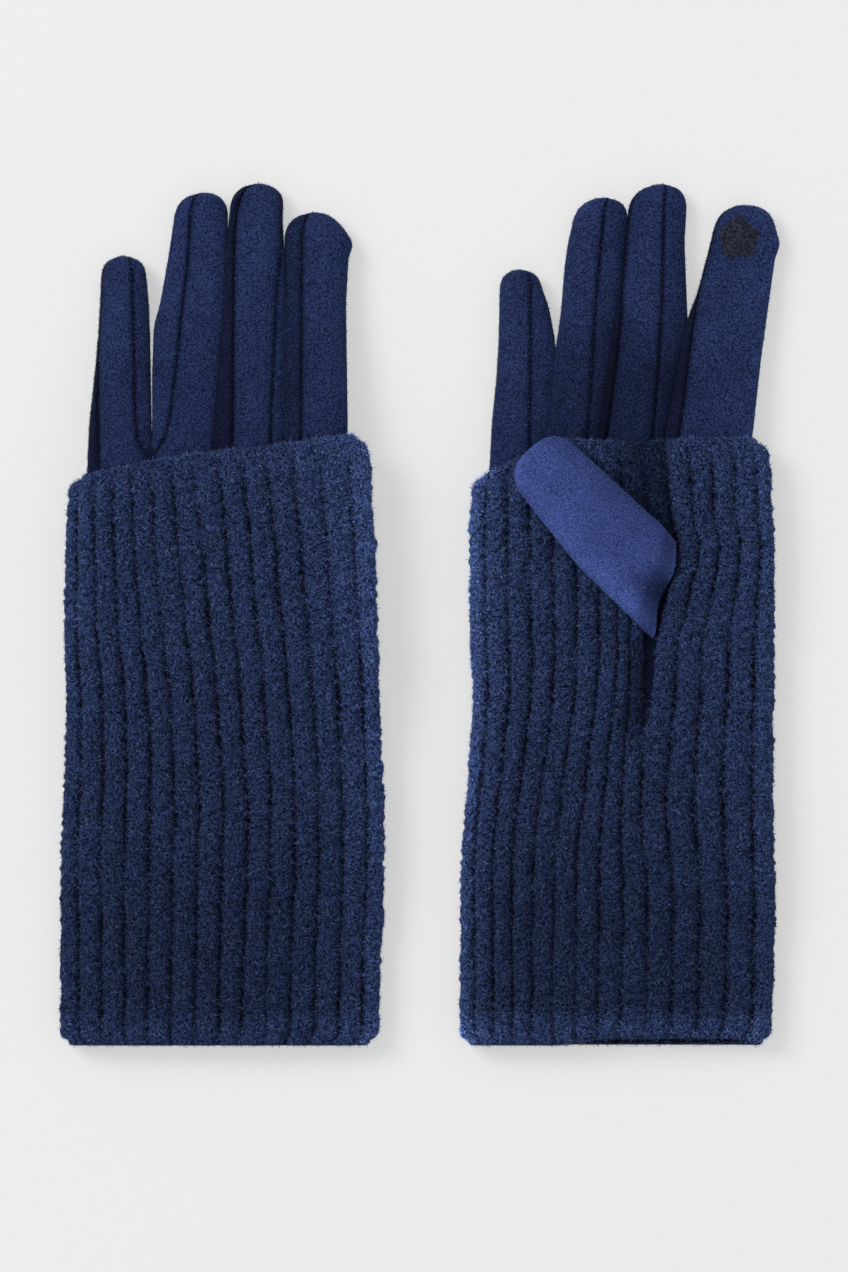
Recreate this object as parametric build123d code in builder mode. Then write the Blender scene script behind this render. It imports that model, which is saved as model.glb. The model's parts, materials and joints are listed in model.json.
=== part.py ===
"""A pair of layered gloves: a suede glove with sewn fourchettes, worn inside a rib-knit sleeve.

Row frame in millimetres: +Z up from the table, +Y towards the fingertips, origin on the table in the
middle of the pair. The right glove lies palm up with its thumb folded over the palm. The left glove is
its mirror image and lies palm down on its thumb. Both have the index finger on their +X side.
"""

import os
from math import atan2, cos, degrees, radians, sin, tan

from build123d import *

# Fabrics and clearances
SUEDE = 1.2  # bonded suede, one layer
KNIT = 3.2  # rib knit, one layer
LOOSE = 0.3  # between layers that slide on each other
HINGE_GAP = 0.3  # from a fold line to the fabric on each side of it

# Lengths along the glove, from the middle of the pair
TIP_Y = 144.0  # middle fingertip
FOLD_Y = 64.0  # line across the hand where the fingers fold
SLEEVE_TOP_Y = 56.5
CUFF_END_Y = -95.0  # wrist edge of the inner glove
SLEEVE_END_Y = -144.0
HEM = 6.0  # sleeve hem and glove hem
TOP_BAND = 4.0  # cast-off edge of the sleeve
TAPER_Y = -98.0  # below this the sleeve closes towards its hem

# Heights of the layers, from the outer face of the sleeve on the back of the hand towards the palm
HAND_THICK = 9.0
HAND_LOW = KNIT + LOOSE
HAND_HIGH = HAND_LOW + HAND_THICK
SLEEVE_THICK = HAND_HIGH + LOOSE + KNIT
THUMB_GAP = 0.4
THUMB_THICK = 7.1
THUMB_LOW = SLEEVE_THICK + THUMB_GAP
HAND_ROUND = 3.9  # edge radius of hand and fingers
FOURCHETTE = 4.5  # from the side of a finger to its seams, on both panels
FLOOR_CLEAR = 0.5  # under a resting fingertip

# Side view of the sleeve
CUFF_DROP = 3.5  # how much the upper layer comes down at the sleeve's end
CUFF_DROP_LIFTED = 6.5  # the same when the glove lies on its thumb
DRAPE_TOP_Y, DRAPE_END_Y = -12.0, -28.0  # where the lower layer comes down beside the thumb

# Thumb and the slit it comes through, seen from above and measured from the middle of the hand
THUMB_X = 12.5
THUMB_Y = 6.5
THUMB_LENGTH = 66.0  # from the middle of its root
THUMB_WIDTH = 27.0
THUMB_ROUND = 3.0
THUMB_BASE = 7.0  # from the middle of the root to the straight end of the thumb beside it
COLLAR = (12.0, 21.0)  # oval root of the thumb, across and along the slit
SLIT = (16.0, 75.0)
SLIT_Y = 2.5  # middle of the slit

PATCH_RING = 3.8  # from the patch's middle to the middle of each lobe
PATCH_LOBE = 2.9
PATCH_THICK = 0.4
PATCH_BACK = 11.5  # from the fingertip to the patch's middle
WEB_WALL = 1.0
WEB_GAP = 0.8  # slot between two fingers at their root
SEAM_STRIP = 3.0  # height of the side seam on the edge of the sleeve

# Each finger: middle of its root, width at its root and tip, tip position in Y, lean in degrees towards the
# index side, and the sides that carry a fourchette (-1 towards the little finger, 1 towards the index)
GLOVES = {
    "left": {
        "middle": -66.2,
        "palm_up": False,
        "thumb_angle": 145.0,
        "hand_wrist": (-41.0, 39.0),
        "sleeve": {"top": (-50.5, 50.5), "waist": (-51.5, 53.0), "end": (-54.0, 54.0)},
        "fingers": {
            "little": (-32.6, 19.6, 15.6, 120.0, 0.9, (1,)),
            "ring": (-10.3, 20.6, 17.4, 141.0, 3.4, (-1, 1)),
            "middle": (11.4, 19.4, 17.2, TIP_Y, 1.0, (-1, 1)),
            "index": (32.8, 19.8, 20.4, 134.5, 0.4, (-1,)),
        },
        "crotches": (53.5, 60.5, 58.5),
    },
    "right": {
        "middle": 68.3,
        "palm_up": True,
        "thumb_angle": 134.0,
        "hand_wrist": (-40.0, 40.0),
        "sleeve": {"top": (-51.0, 49.5), "waist": (-51.0, 51.9), "end": (-55.0, 50.0)},
        "fingers": {
            "little": (-34.6, 17.6, 15.2, 115.5, 0.4, (1,)),
            "ring": (-16.7, 16.6, 17.4, 139.5, 7.4, (-1, 1)),
            "middle": (2.6, 19.6, 18.4, TIP_Y, 7.2, (-1, 1)),
            "index": (28.9, 27.6, 21.4, 137.0, 8.2, (-1,)),
        },
        "crotches": (54.5, 59.5, 58.5),
    },
}
LIFTED = THUMB_LOW + THUMB_THICK  # height of a glove that lies on its thumb


def save(part, name):
    """Label a piece and write it as its own STEP file."""
    part.label = name
    export_step(part, f"parts/{name}.step")


def height(glove, level):
    """World height of a layer level, which counts from the back of the hand towards the palm."""
    return level if glove["palm_up"] else LIFTED - level


def span(glove, low, high):
    """World bottom and thickness of the space between two layer levels."""
    ends = sorted((height(glove, low), height(glove, high)))
    return ends[0], ends[1] - ends[0]


def block(x, y, z):
    """A plain block between pairs of limits, used to cut panels out of a shell."""
    with BuildPart() as made:
        with BuildSketch(Plane.XY.offset(z[0])):
            with Locations(((x[0] + x[1]) / 2, (y[0] + y[1]) / 2)):
                Rectangle(x[1] - x[0], y[1] - y[0])
        extrude(amount=z[1] - z[0])
    return made.part


def keep(shape, *zones, without=()):
    """The part of a shape inside every zone, less the shapes to leave out."""
    with BuildPart() as made:
        add(shape)
        for zone in zones:
            add(zone, mode=Mode.INTERSECT)
        for zone in without:
            add(zone, mode=Mode.SUBTRACT)
    return made.part


def join(*shapes):
    """Several separate solids as one piece."""
    with BuildPart() as made:
        for shape in shapes:
            add(shape)
    return made.part


# ---------------------------------------------------------------- fingers


def finger_frame(glove, spec):
    """Plane at the fold line on top of a finger, with y along the finger, and its length and slope."""
    root_x, _, _, tip_y, lean, _ = spec
    bottom, thick = span(glove, HAND_LOW, HAND_HIGH)
    run = (tip_y - FOLD_Y) / cos(radians(lean))
    slope = atan2(bottom - FLOOR_CLEAR, run)
    length = run / cos(slope)
    along = Vector(sin(radians(lean)) * cos(slope), cos(radians(lean)) * cos(slope), -sin(slope))
    across = Vector(cos(radians(lean)), -sin(radians(lean)), 0)
    origin = (glove["middle"] + root_x, FOLD_Y, bottom + thick)
    return Plane(origin=origin, x_dir=across, z_dir=across.cross(along)), length, slope


def finger_form(frame, spec, length, slope, inset):
    """A rounded flat finger, smaller on all sides by inset, with an open square root."""
    _, root, tip, _, lean, _ = spec
    start = HINGE_GAP + HAND_THICK * tan(slope) - inset
    root_half = root / 2 - inset
    skew = root_half * tan(radians(lean))  # keeps the root's edge parallel to the fold line
    tip_radius = tip / 2 - inset
    shoulder = length - tip / 2
    with BuildPart() as form:
        with BuildSketch(frame.offset(inset - HAND_THICK)):
            with BuildLine():
                Polyline((-tip_radius, shoulder), (-root_half, start - skew), (root_half, start + skew),
                         (tip_radius, shoulder))
                RadiusArc((-tip_radius, shoulder), (tip_radius, shoulder), tip_radius)
            make_face()
        extrude(amount=HAND_THICK - 2 * inset)
        along, up = Axis(frame.origin, frame.y_dir), Axis(frame.origin, frame.z_dir)
        faces = form.faces().sort_by(up)
        rim = [edge for face in (faces[0], faces[-1]) for edge in face.edges().sort_by(along)[1:]]
        fillet(rim, radius=HAND_ROUND - inset)
    return form.part


def finger_zone(frame, x, z):
    """A block in a finger's own frame, from its root past its tip."""
    with BuildPart() as made:
        with BuildSketch(frame.offset(z[0])):
            with Locations(((x[0] + x[1]) / 2, TIP_Y / 2)):
                Rectangle(x[1] - x[0], TIP_Y + 2 * HAND_THICK)
        extrude(amount=z[1] - z[0])
    return made.part


def make_finger(side, glove, name):
    """Back panel, palm panel and fourchettes of one finger; the index also has its touch patch."""
    spec = glove["fingers"][name]
    frame, length, slope = finger_frame(glove, spec)
    outer, inner = (finger_form(frame, spec, length, slope, inset) for inset in (0, SUEDE))
    shell = keep(outer, without=(inner,))
    seam = min(spec[1], spec[2]) / 2 - FOURCHETTE
    beyond = 2 * HAND_THICK
    low = -seam if -1 in spec[5] else -beyond
    high = seam if 1 in spec[5] else beyond
    upper = finger_zone(frame, (low, high), (-HAND_THICK / 2, HAND_THICK))
    lower = finger_zone(frame, (low, high), (-beyond, -HAND_THICK / 2))
    palm, back = (upper, lower) if glove["palm_up"] else (lower, upper)
    save(keep(shell, back), f"{side}_{name}_back")
    save(keep(shell, palm), f"{side}_{name}_palm")
    sides = [
        keep(shell, finger_zone(frame, tuple(sorted((way * seam, way * beyond))), (-beyond, beyond)))
        for way in spec[5]
    ]
    save(join(*sides), f"{side}_{name}_fourchettes")
    if name == "index":
        make_patch(side, glove, frame, length)


def make_patch(side, glove, frame, length):
    """Five-lobed embroidered touch patch on the palm side of the index fingertip."""
    level, facing = (0, 1) if glove["palm_up"] else (-HAND_THICK, -1)
    with BuildPart() as patch:
        with BuildSketch(frame.offset(level)):
            with Locations((0, length - PATCH_BACK)):
                Circle(PATCH_RING)
                with PolarLocations(PATCH_RING, 5, start_angle=90):
                    Circle(PATCH_LOBE)
        extrude(amount=facing * PATCH_THICK)
    save(patch.part, f"{side}_touch_patch")


# ---------------------------------------------------------------- hand of the inner glove


def hand_outline(glove, inset):
    """Plan of the hand from the fold line to the wrist."""
    middle = glove["middle"]
    little, index = glove["fingers"]["little"], glove["fingers"]["index"]
    left = little[0] - little[1] / 2
    right = index[0] + index[1] / 2
    wrist_left, wrist_right = glove["hand_wrist"]
    top, end = FOLD_Y - HINGE_GAP + inset, CUFF_END_Y - inset
    return [
        (middle + left + inset, top),
        (middle + wrist_left + inset, end),
        (middle + wrist_right - inset, end),
        (middle + right - inset, top),
    ]


def hand_form(glove, inset):
    """The hand as a flat rounded tube, smaller by inset and open at both ends."""
    bottom, thick = span(glove, HAND_LOW, HAND_HIGH)
    with BuildPart() as form:
        with BuildSketch(Plane.XY.offset(bottom + inset)):
            with BuildLine():
                Polyline(*hand_outline(glove, inset), close=True)
            make_face()
        extrude(amount=thick - 2 * inset)
        long_edges = form.edges().filter_by(lambda edge: edge.length > TIP_Y)
        fillet(long_edges, radius=HAND_ROUND - inset)
    return form.part


def crotch_places(glove):
    """Where each pair of fingers meets: x, and the y of the crotch."""
    specs = list(glove["fingers"].values())
    for first, second, crotch in zip(specs, specs[1:], glove["crotches"]):
        x = (first[0] + first[1] / 2 + second[0] - second[1] / 2) / 2
        yield glove["middle"] + x, crotch


def make_hand(side, glove):
    """Back and palm of the hand, the fourchette webs in the finger crotches, the hem and the thumb's root."""
    bottom, thick = span(glove, HAND_LOW, HAND_HIGH)
    shell = keep(hand_form(glove, 0), without=(hand_form(glove, SUEDE),))
    wide, tall = (-2 * TIP_Y, 2 * TIP_Y), (-TIP_Y, TIP_Y)
    half = bottom + thick / 2
    notches = []
    webs = []
    for x, crotch in crotch_places(glove):
        notch = block((x - WEB_GAP / 2, x + WEB_GAP / 2), (crotch, TIP_Y), tall)
        cavity = (bottom + SUEDE, bottom + thick - SUEDE)
        reach = WEB_GAP / 2 + WEB_WALL
        lining = block((x - reach, x + reach), (crotch - WEB_WALL, FOLD_Y - HINGE_GAP), cavity)
        notches.append(notch)
        webs.append(keep(lining, without=(notch,)))
    body = block(wide, (CUFF_END_Y + HEM, TIP_Y), tall)
    upper, lower = block(wide, (-TIP_Y, TIP_Y), (half, TIP_Y)), block(wide, (-TIP_Y, TIP_Y), (-TIP_Y, half))
    palm, back = (upper, lower) if glove["palm_up"] else (lower, upper)
    thumb_hole = collar_column(glove, SUEDE, HAND_HIGH - HAND_THICK / 2, THUMB_LOW)
    save(keep(shell, body, back, without=notches), f"{side}_hand_back")
    save(keep(shell, body, palm, without=(*notches, thumb_hole)), f"{side}_hand_palm")
    save(join(*webs), f"{side}_fourchette_webs")
    save(keep(shell, block(wide, (CUFF_END_Y, CUFF_END_Y + HEM), tall)), f"{side}_glove_hem")
    collar = collar_column(glove, 0, HAND_HIGH, THUMB_LOW - LOOSE)
    save(keep(collar, without=(thumb_hole,)), f"{side}_thumb_root")


def collar_column(glove, inset, low, high):
    """An oval column at the root of the thumb, between two layer levels."""
    bottom, tall = span(glove, low, high)
    with BuildPart() as column:
        with BuildSketch(Plane.XY.offset(bottom)):
            with Locations((glove["middle"] + THUMB_X, THUMB_Y)):
                SlotOverall(COLLAR[1] - 2 * inset, COLLAR[0] - 2 * inset, rotation=90)
        extrude(amount=tall)
    return column.part


# ---------------------------------------------------------------- thumb


def thumb_form(glove, inset):
    """The thumb as a flat rounded pouch lying beside the palm of the sleeve, smaller by inset."""
    bottom, thick = span(glove, THUMB_LOW, THUMB_LOW + THUMB_THICK)
    radius = THUMB_WIDTH / 2
    far = THUMB_LENGTH - radius
    turn = radians(glove["thumb_angle"])
    centre = (glove["middle"] + THUMB_X + far / 2 * cos(turn), THUMB_Y + far / 2 * sin(turn))
    with BuildPart() as form:
        with BuildSketch(Plane.XY.offset(bottom + inset)):
            with Locations(centre):
                SlotCenterToCenter(far, THUMB_WIDTH - 2 * inset, rotation=glove["thumb_angle"])
            with Locations((glove["middle"] + THUMB_X + THUMB_BASE - inset - THUMB_LENGTH, THUMB_Y)):
                Rectangle(2 * THUMB_LENGTH, 4 * THUMB_LENGTH, mode=Mode.INTERSECT)
        extrude(amount=thick - 2 * inset)
        faces = form.faces().sort_by(Axis.Z)
        fillet(faces[0].edges() + faces[-1].edges(), radius=THUMB_ROUND - inset)
    return form.part


def make_thumb(side, glove):
    """Outer and inner panel of the thumb; the inner one is open over the thumb's root."""
    bottom, thick = span(glove, THUMB_LOW, THUMB_LOW + THUMB_THICK)
    shell = keep(thumb_form(glove, 0), without=(thumb_form(glove, SUEDE),))
    wide = (-2 * TIP_Y, 2 * TIP_Y)
    half = bottom + thick / 2
    upper, lower = block(wide, wide, (half, TIP_Y)), block(wide, wide, (-TIP_Y, half))
    outer, inner = (upper, lower) if glove["palm_up"] else (lower, upper)
    save(keep(shell, outer), f"{side}_thumb_outer")
    hole = collar_column(glove, SUEDE, THUMB_LOW - LOOSE, THUMB_LOW + THUMB_THICK / 2)
    save(keep(shell, inner, without=(hole,)), f"{side}_thumb_inner")


# ---------------------------------------------------------------- knit sleeve


def sleeve_profile(glove, inset):
    """Side view of the sleeve in Y and Z, smaller by inset and open at both ends."""
    top_y, end_y = SLEEVE_TOP_Y + inset, SLEEVE_END_Y - inset
    bottom, thick = span(glove, 0, SLEEVE_THICK)
    roof, drop = bottom + thick - inset, CUFF_DROP if glove["palm_up"] else CUFF_DROP_LIFTED
    drop_per_mm = drop / (TAPER_Y - SLEEVE_END_Y)
    upper = [(top_y, roof), (TAPER_Y, roof), (end_y, roof - drop_per_mm * (TAPER_Y - end_y))]
    if glove["palm_up"]:
        return [*upper, (end_y, inset), (top_y, inset)]
    drape = [(DRAPE_END_Y, inset), (DRAPE_TOP_Y, bottom + inset)]
    return [*upper, (end_y, inset), *drape, (top_y, bottom + inset)]


def sleeve_form(glove, inset):
    """The sleeve as a solid of its outer shape, smaller by inset."""
    stations = ((SLEEVE_TOP_Y + inset, "top"), (0, "waist"), (SLEEVE_END_Y - inset, "end"))
    left = [(glove["middle"] + glove["sleeve"][key][0] + inset, y) for y, key in stations]
    right = [(glove["middle"] + glove["sleeve"][key][1] - inset, y) for y, key in stations]
    with BuildPart() as form:
        with BuildSketch(Plane.YZ.offset(-2 * TIP_Y)):
            with BuildLine():
                Polyline(*sleeve_profile(glove, inset), close=True)
            make_face()
        extrude(amount=4 * TIP_Y)
        with BuildSketch(Plane.XY.offset(-TIP_Y)):
            with BuildLine():
                Polyline(*left, *reversed(right), close=True)
            make_face()
        extrude(amount=2 * TIP_Y, mode=Mode.INTERSECT)
    return form.part


def make_sleeve(side, glove):
    """Back and palm layer, side seam, cast-off top edge and hem, with the slit for the thumb."""
    shell = keep(sleeve_form(glove, 0), without=(sleeve_form(glove, KNIT),))
    wide, tall = (-2 * TIP_Y, 2 * TIP_Y), (-TIP_Y, TIP_Y)
    half = SLEEVE_THICK / 2 if glove["palm_up"] else LIFTED / 2
    top_y, end_y = SLEEVE_TOP_Y - TOP_BAND, SLEEVE_END_Y + HEM
    body = block(wide, (end_y, top_y), tall)
    seam_x = (-2 * TIP_Y, glove["middle"] + glove["sleeve"]["top"][0] + KNIT)
    seam = block(seam_x, (end_y, top_y), (half - SEAM_STRIP / 2, half + SEAM_STRIP / 2))
    bottom, deep = span(glove, HAND_HIGH, THUMB_LOW + THUMB_THICK)
    with BuildPart() as slit:
        with BuildSketch(Plane.XY.offset(bottom)):
            with Locations((glove["middle"] + THUMB_X, SLIT_Y)):
                SlotOverall(SLIT[1], SLIT[0], rotation=90)
        extrude(amount=deep)
    upper, lower = block(wide, wide, (half, TIP_Y)), block(wide, wide, (-TIP_Y, half))
    palm, back = (upper, lower) if glove["palm_up"] else (lower, upper)
    save(keep(shell, body, back, without=(seam,)), f"{side}_sleeve_back")
    save(keep(shell, body, palm, without=(seam, slit.part)), f"{side}_sleeve_palm")
    save(keep(shell, seam), f"{side}_sleeve_seam")
    save(keep(shell, block(wide, (top_y, TIP_Y), tall)), f"{side}_sleeve_top_edge")
    save(keep(shell, block(wide, (-2 * TIP_Y, end_y), tall)), f"{side}_sleeve_hem")


os.makedirs("parts", exist_ok=True)
for side, glove in GLOVES.items():
    make_hand(side, glove)
    make_thumb(side, glove)
    make_sleeve(side, glove)
    for name in glove["fingers"]:
        make_finger(side, glove, name)
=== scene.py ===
import json
from math import cos, pi, radians, sin, tan

import bpy
import numpy as np
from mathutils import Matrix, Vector


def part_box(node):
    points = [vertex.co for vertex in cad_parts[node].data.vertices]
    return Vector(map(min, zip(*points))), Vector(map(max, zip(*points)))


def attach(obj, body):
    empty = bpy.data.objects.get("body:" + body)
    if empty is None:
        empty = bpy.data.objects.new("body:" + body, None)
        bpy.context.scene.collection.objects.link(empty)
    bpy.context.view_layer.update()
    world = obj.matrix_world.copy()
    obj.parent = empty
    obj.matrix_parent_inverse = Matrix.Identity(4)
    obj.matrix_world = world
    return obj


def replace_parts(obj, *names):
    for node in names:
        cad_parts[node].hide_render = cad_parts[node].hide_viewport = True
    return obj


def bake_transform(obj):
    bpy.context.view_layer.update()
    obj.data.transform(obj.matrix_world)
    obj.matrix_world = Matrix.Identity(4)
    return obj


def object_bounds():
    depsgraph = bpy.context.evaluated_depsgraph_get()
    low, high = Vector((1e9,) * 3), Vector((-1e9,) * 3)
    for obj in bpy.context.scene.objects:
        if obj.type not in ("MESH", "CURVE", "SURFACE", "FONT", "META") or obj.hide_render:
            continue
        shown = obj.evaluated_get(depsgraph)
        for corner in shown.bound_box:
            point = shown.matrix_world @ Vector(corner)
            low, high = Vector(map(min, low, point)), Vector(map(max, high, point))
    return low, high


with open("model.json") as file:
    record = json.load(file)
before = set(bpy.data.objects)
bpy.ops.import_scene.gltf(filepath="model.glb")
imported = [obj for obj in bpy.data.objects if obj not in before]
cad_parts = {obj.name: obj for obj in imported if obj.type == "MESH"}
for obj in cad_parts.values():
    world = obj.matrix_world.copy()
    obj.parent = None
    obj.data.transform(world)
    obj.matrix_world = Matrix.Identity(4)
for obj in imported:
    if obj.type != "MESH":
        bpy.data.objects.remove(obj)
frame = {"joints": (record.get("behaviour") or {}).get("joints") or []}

# The looks of a pair of layered gloves: suede gloves with sewn fourchettes inside brushed rib-knit sleeves.
# Lengths are in millimetres while a shape is worked out, and become metres when its mesh is made.
# Across a glove, +X is towards the index finger. Along it, +Y is towards the fingertips.

CAD_BOX = [list(corner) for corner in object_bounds()]
MM = 0.001
FINGERS = ("little", "ring", "middle", "index")
JOINTS = {joint["name"]: joint for joint in frame["joints"]}

# Knit
RIBS = 28  # round one sleeve
RIB_COLUMNS = 15  # mesh columns in one rib
ROW = 0.62  # mesh spacing along a sleeve
GIRTH = 235.0  # nominal length round a sleeve
STITCH = 3.5  # height of one knitted stitch
RIB_DEEP = 2.6  # from a groove to a crest
RIB_LOW = 0.7  # share of the relief that goes inwards
CREST = 0.75  # from the floor to the rib base of the lowest layer
SLEEVE_THICK = 14.2  # both knit layers with the hand between them
CUFF_THICK = 10.0  # the same without the hand
LIP = 1.8  # radius of the rolled edges
LIFT = 7.0  # of a glove that lies on its thumb
INSIDE = 18.0  # how far the inner side of an end is made
FUZZ = 1.7  # fibres for each face of the knit
SLIT_OPEN = 0.8  # where the slit is wider than this, the knit has a hole

# Suede
HALF_THICK = 4.3  # of a finger


# ---------------------------------------------------------------- numbers and meshes


def noise(x, y, size, seed):
    """Smooth value noise from -1 to 1 over a plane, with features about as wide as size."""
    count = 128
    table = np.random.default_rng(seed).uniform(-1, 1, (count, count))
    x, y = np.broadcast_arrays(np.asarray(x, float) / size, np.asarray(y, float) / size)
    column, row = np.floor(x).astype(int), np.floor(y).astype(int)
    across, along = x - column, y - row
    across, along = across * across * (3 - 2 * across), along * along * (3 - 2 * along)
    below, above = row % count, (row + 1) % count
    here, beside = column % count, (column + 1) % count
    low = table[below, here] * (1 - across) + table[below, beside] * across
    high = table[above, here] * (1 - across) + table[above, beside] * across
    return low * (1 - along) + high * along


def step(value, start, end):
    """0 before start, 1 after end, and smooth between."""
    share = np.clip((value - start) / (end - start), 0, 1)
    return share * share * (3 - 2 * share)


def hill(value, middle, width):
    """A smooth bump of height 1."""
    return np.exp(-(((value - middle) / width) ** 2))


def rounded(angle, squareness):
    """Across and up on a rounded outline from -1 to 1: squareness 2 is an ellipse, and more is squarer."""
    power = 2 / squareness
    across = np.sign(np.cos(angle)) * np.abs(np.cos(angle)) ** power
    up = np.sign(np.sin(angle)) * np.abs(np.sin(angle)) ** power
    return across, up


def mesh_object(name, points, faces):
    """A smooth mesh object from points in millimetres."""
    mesh = bpy.data.meshes.new(name)
    points, faces = np.asarray(points, float).reshape(-1, 3) * MM, np.asarray(faces, np.int32)
    corners = faces.shape[1]
    mesh.vertices.add(len(points))
    mesh.vertices.foreach_set("co", points.astype(np.float32).ravel())
    mesh.loops.add(faces.size)
    mesh.loops.foreach_set("vertex_index", faces.ravel())
    mesh.polygons.add(len(faces))
    mesh.polygons.foreach_set("loop_start", np.arange(0, faces.size, corners, dtype=np.int32))
    mesh.update(calc_edges=True)
    mesh.polygons.foreach_set("use_smooth", np.ones(len(mesh.polygons), bool))
    obj = bpy.data.objects.new(name, mesh)
    bpy.context.scene.collection.objects.link(obj)
    return obj


def grid_faces(rows, columns, closed):
    """Quads of a grid of points, row by row, that closes round on itself or not."""
    row = np.arange(rows - 1)[:, None] * columns
    column = np.arange(columns if closed else columns - 1)[None, :]
    beside = (column + 1) % columns
    corners = (row + column, row + beside, row + columns + beside, row + columns + column)
    return np.stack([corner.ravel() for corner in corners], 1)


def attribute(obj, name, values):
    """A number at each vertex, for the materials."""
    layer = obj.data.attributes.new(name, "FLOAT", "POINT")
    layer.data.foreach_set("value", np.asarray(values, np.float32).ravel())


def box_mm(node):
    """Lowest and highest corner of a CAD node, in millimetres."""
    low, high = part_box(node)
    return np.array(low) / MM, np.array(high) / MM


# ---------------------------------------------------------------- materials


class Shader:
    """Builds one procedural material."""

    def __init__(self, name, roughness, sheen, sheen_tint):
        self.material = bpy.data.materials.new(name)
        self.material.use_nodes = True
        self.tree = self.material.node_tree
        self.surface = self.tree.nodes["Principled BSDF"]
        self.surface.inputs["Roughness"].default_value = roughness
        self.surface.inputs["Specular IOR Level"].default_value = 0.05
        self.surface.inputs["Sheen Weight"].default_value = sheen
        self.surface.inputs["Sheen Roughness"].default_value = 0.45
        self.surface.inputs["Sheen Tint"].default_value = (*sheen_tint, 1)
        self.place = self.tree.nodes.new("ShaderNodeTexCoord").outputs["Object"]

    def noise(self, size_mm, detail=2.0, roughness=0.6):
        """Noise with features of a size in millimetres."""
        node = self.tree.nodes.new("ShaderNodeTexNoise")
        self.tree.links.new(self.place, node.inputs["Vector"])
        node.inputs["Scale"].default_value = 1 / (size_mm * MM)
        node.inputs["Detail"].default_value = detail
        node.inputs["Roughness"].default_value = roughness
        return node.outputs["Fac"]

    def attribute(self, name):
        node = self.tree.nodes.new("ShaderNodeAttribute")
        node.attribute_name = name
        return node.outputs["Fac"]

    def spread(self, value, low, high, to_low=0.0, to_high=1.0):
        """A value brought from one range to another, and kept in it."""
        node = self.tree.nodes.new("ShaderNodeMapRange")
        self.tree.links.new(value, node.inputs["Value"])
        limits = {"From Min": low, "From Max": high, "To Min": to_low, "To Max": to_high}
        for socket, number in limits.items():
            node.inputs[socket].default_value = number
        return node.outputs["Result"]

    def mix(self, factor, first, second, kind="MIX"):
        """A colour between two. Each is a colour, a number or a socket."""
        node = self.tree.nodes.new("ShaderNodeMix")
        node.data_type = "RGBA"
        node.blend_type = kind
        for socket, value in zip((node.inputs[0], node.inputs[6], node.inputs[7]), (factor, first, second)):
            if isinstance(value, tuple):
                socket.default_value = (*value, 1)
            elif isinstance(value, float):
                socket.default_value = value
            else:
                self.tree.links.new(value, socket)
        return node.outputs[2]

    def bump(self, height, strength, distance_mm):
        node = self.tree.nodes.new("ShaderNodeBump")
        node.inputs["Strength"].default_value = strength
        node.inputs["Distance"].default_value = distance_mm * MM
        self.tree.links.new(height, node.inputs["Height"])
        self.tree.links.new(node.outputs["Normal"], self.surface.inputs["Normal"])

    def finish(self, colour):
        self.tree.links.new(colour, self.surface.inputs["Base Color"])
        return self.material


def suede(name, grain, dark, light):
    """Brushed microfibre suede: a speckled nap with soft clouds where the nap lies another way."""
    shader = Shader(name, 0.95, 0.14, (0.30, 0.45, 1.0))
    pile_and_painted_shade = shader.noise(grain, 2.0, 0.7)
    speckle = shader.spread(pile_and_painted_shade, 0.38, 0.62)
    clouds = shader.spread(shader.noise(14.0), 0.3, 0.7, 0.82, 1.14)
    colour = shader.mix(speckle, dark, light)
    colour = shader.mix(1.0, colour, clouds, "MULTIPLY")
    # Painted shade from the shade attribute, then painted light and shade that multiply the colour.
    colour = shader.mix(shader.attribute("shade"), colour, tuple(0.3 * value for value in dark))
    colour = shader.mix(1.0, colour, shader.attribute("painted_light"), "MULTIPLY")
    shader.bump(pile_and_painted_shade, 0.6, 0.4)
    return shader.finish(colour)


def knit(name, groove, low, high):
    """Brushed wool-like yarn: fuzzy and speckled, with painted shade in the grooves between the ribs."""
    shader = Shader(name, 0.98, 0.12, (0.30, 0.50, 1.0))
    fuzz = shader.noise(0.8, 2.0, 0.75)
    speckle = shader.spread(fuzz, 0.41, 0.61)
    clouds = shader.spread(shader.noise(9.0), 0.3, 0.7, 0.85, 1.12)
    colour = shader.mix(speckle, low, high)
    # Painted shade in the rib grooves, by how near each point is to a crest.
    crest = shader.spread(shader.attribute("crest"), 0.12, 0.72)
    colour = shader.mix(crest, groove, colour)
    colour = shader.mix(1.0, colour, clouds, "MULTIPLY")
    # Painted light and shade that multiply the colour.
    colour = shader.mix(1.0, colour, shader.attribute("painted_light"), "MULTIPLY")
    shader.bump(fuzz, 0.7, 0.6)
    return shader.finish(colour)


def fibre(name, dark, light):
    """Single fibres, each with its own tone."""
    shader = Shader(name, 0.9, 0.08, (0.4, 0.6, 1.0))
    colour = shader.mix(shader.attribute("tone"), dark, light)
    # Each fibre also takes the painted light and shade of its face.
    return shader.finish(shader.mix(1.0, colour, shader.attribute("painted_light"), "MULTIPLY"))


def pale_floor():
    """Pale paper on a light table, whose light keeps the shadows soft."""
    shader = Shader("pale_paper", 0.9, 0.0, (1, 1, 1))
    shader.surface.inputs["Emission Color"].default_value = (1, 1, 1, 1)
    shader.surface.inputs["Emission Strength"].default_value = 0.50
    grain = shader.spread(shader.noise(3.0, 4.0), 0.3, 0.7)
    return shader.finish(shader.mix(grain, (0.275, 0.275, 0.275), (0.285, 0.285, 0.285)))


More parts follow.
